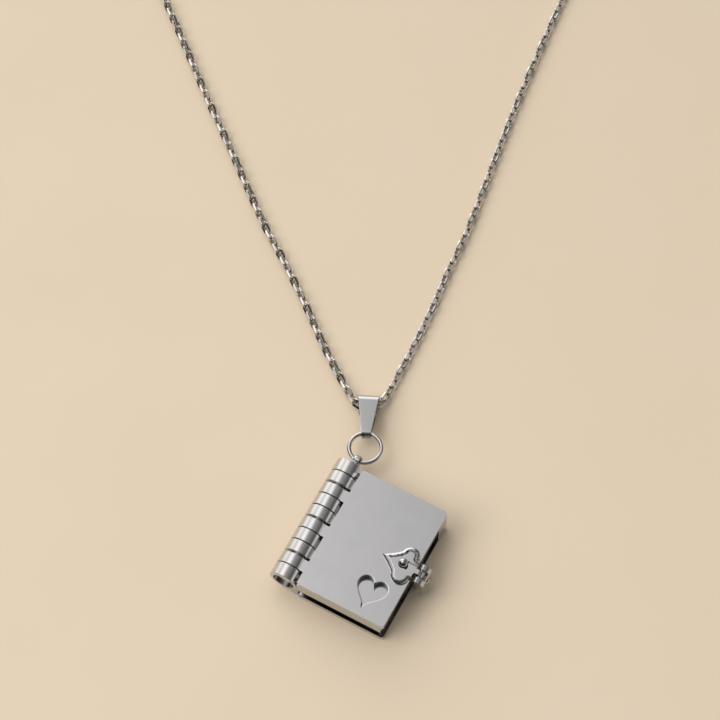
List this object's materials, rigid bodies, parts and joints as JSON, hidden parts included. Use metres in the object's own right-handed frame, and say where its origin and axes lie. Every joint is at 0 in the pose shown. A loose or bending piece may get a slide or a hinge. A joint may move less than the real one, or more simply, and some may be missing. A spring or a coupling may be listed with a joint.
{
  "type": "book locket necklace",
  "caption": "Small hinged metal book locket with a pierced heart, an inner leaf, a swinging fore-edge clasp, a jump ring, a bail and a fine cable chain.",
  "frame": {"origin": "middle of the back cover's outer face, on the surface the locket lies on", "axes": "+X from the spine to the fore-edge, +Y along the spine towards the bail, +Z out of the front cover"},
  "size_m": [0.1422, 0.2102, 0.0088],
  "materials": {
    "case_steel": "polished stainless steel",
    "leaf_steel": "plain stainless steel, less polished",
    "chain_steel": "polished stainless steel wire"
  },
  "bodies": {
    "case": {"back_cover": "case_steel", "hinge_pin": "leaf_steel", "jump_ring": "case_steel", "bail": "case_steel", "chain": "chain_steel", "chain_clasp": "chain_steel"},
    "front": {"front_cover": "case_steel", "clasp_leaf": "case_steel", "clasp_rivet": "case_steel", "clasp_pin": "case_steel"},
    "leaf": {"inner_leaf": "leaf_steel"},
    "fork": {"clasp_fork": "case_steel"}
  },
  "joints": [
    {"name": "cover_hinge", "type": "hinge", "parent": "case", "child": "front", "pos_m": [-0.01175, 0, 0.0035], "axis": [0, -1, 0], "range_deg": [0, 170]},
    {"name": "leaf_hinge", "type": "hinge", "parent": "case", "child": "leaf", "pos_m": [-0.01175, 0, 0.0035], "axis": [0, -1, 0], "range_deg": [0, 85]},
    {"name": "clasp_hinge", "type": "hinge", "parent": "front", "child": "fork", "pos_m": [0.0098, -0.0003, 0.0065], "axis": [0, -1, 0], "range_deg": [0, 120]}
  ],
  "couplings": [
    {"joint": "leaf_hinge", "follows": "cover_hinge", "ratio": 0.5}
  ]
}
